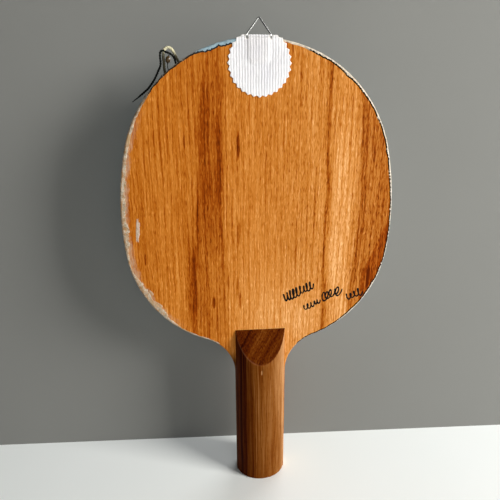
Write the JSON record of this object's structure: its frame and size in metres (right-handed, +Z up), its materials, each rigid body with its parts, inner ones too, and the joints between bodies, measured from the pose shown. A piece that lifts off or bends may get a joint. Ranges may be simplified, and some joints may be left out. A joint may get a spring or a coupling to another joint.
{
  "type": "table tennis paddle",
  "caption": "Bare-backed wooden table tennis paddle with an oval two-scale handle, a gummed cloth hanger with a swinging wire triangle, and a cord and bead trim at its edge.",
  "frame": {"origin": "centre of the handle's end face, on the blade's mid-plane", "axes": "+Z up the handle to the top of the blade, +X across the blade, -Y out of the bare back face that carries the hanger"},
  "size_m": [0.1496, 0.025, 0.2656],
  "materials": {
    "beech_face": "oiled satin beech, vertical grain with dark streaks",
    "cross_veneer": "sanded end grain",
    "core_wood": "sanded light core",
    "walnut": "oiled satin walnut",
    "painted_ground": "matte brushed paint",
    "hanger_cloth": "white ribbed gummed cloth",
    "hanger_wire": "drawn bright steel",
    "pale_cord": "twisted cotton cord",
    "dark_cord": "waxed dark cord",
    "bead_wood": "polished amber-brown wood"
  },
  "bodies": {
    "paddle": {"back_face_veneer": "beech_face", "back_cross_veneer": "cross_veneer", "core_ply": "core_wood", "front_cross_veneer": "cross_veneer", "front_face_veneer": "beech_face", "back_handle_scale": "walnut", "front_handle_scale": "walnut", "front_ground": "painted_ground", "hanger_cloth": "hanger_cloth", "cord_pale_loop": "pale_cord", "cord_dark_tail": "dark_cord", "cord_rim_strand": "dark_cord", "bead_thread": "dark_cord", "bead": "bead_wood"},
    "hanger_loop": {"hanger_wire": "hanger_wire"}
  },
  "joints": [
    {"name": "hanger_swing", "type": "hinge", "parent": "paddle", "child": "hanger_loop", "pos_m": [-0.0005, -0.00335, 0.25715], "axis": [1, 0, 0], "range_deg": [-65, 160]}
  ]
}
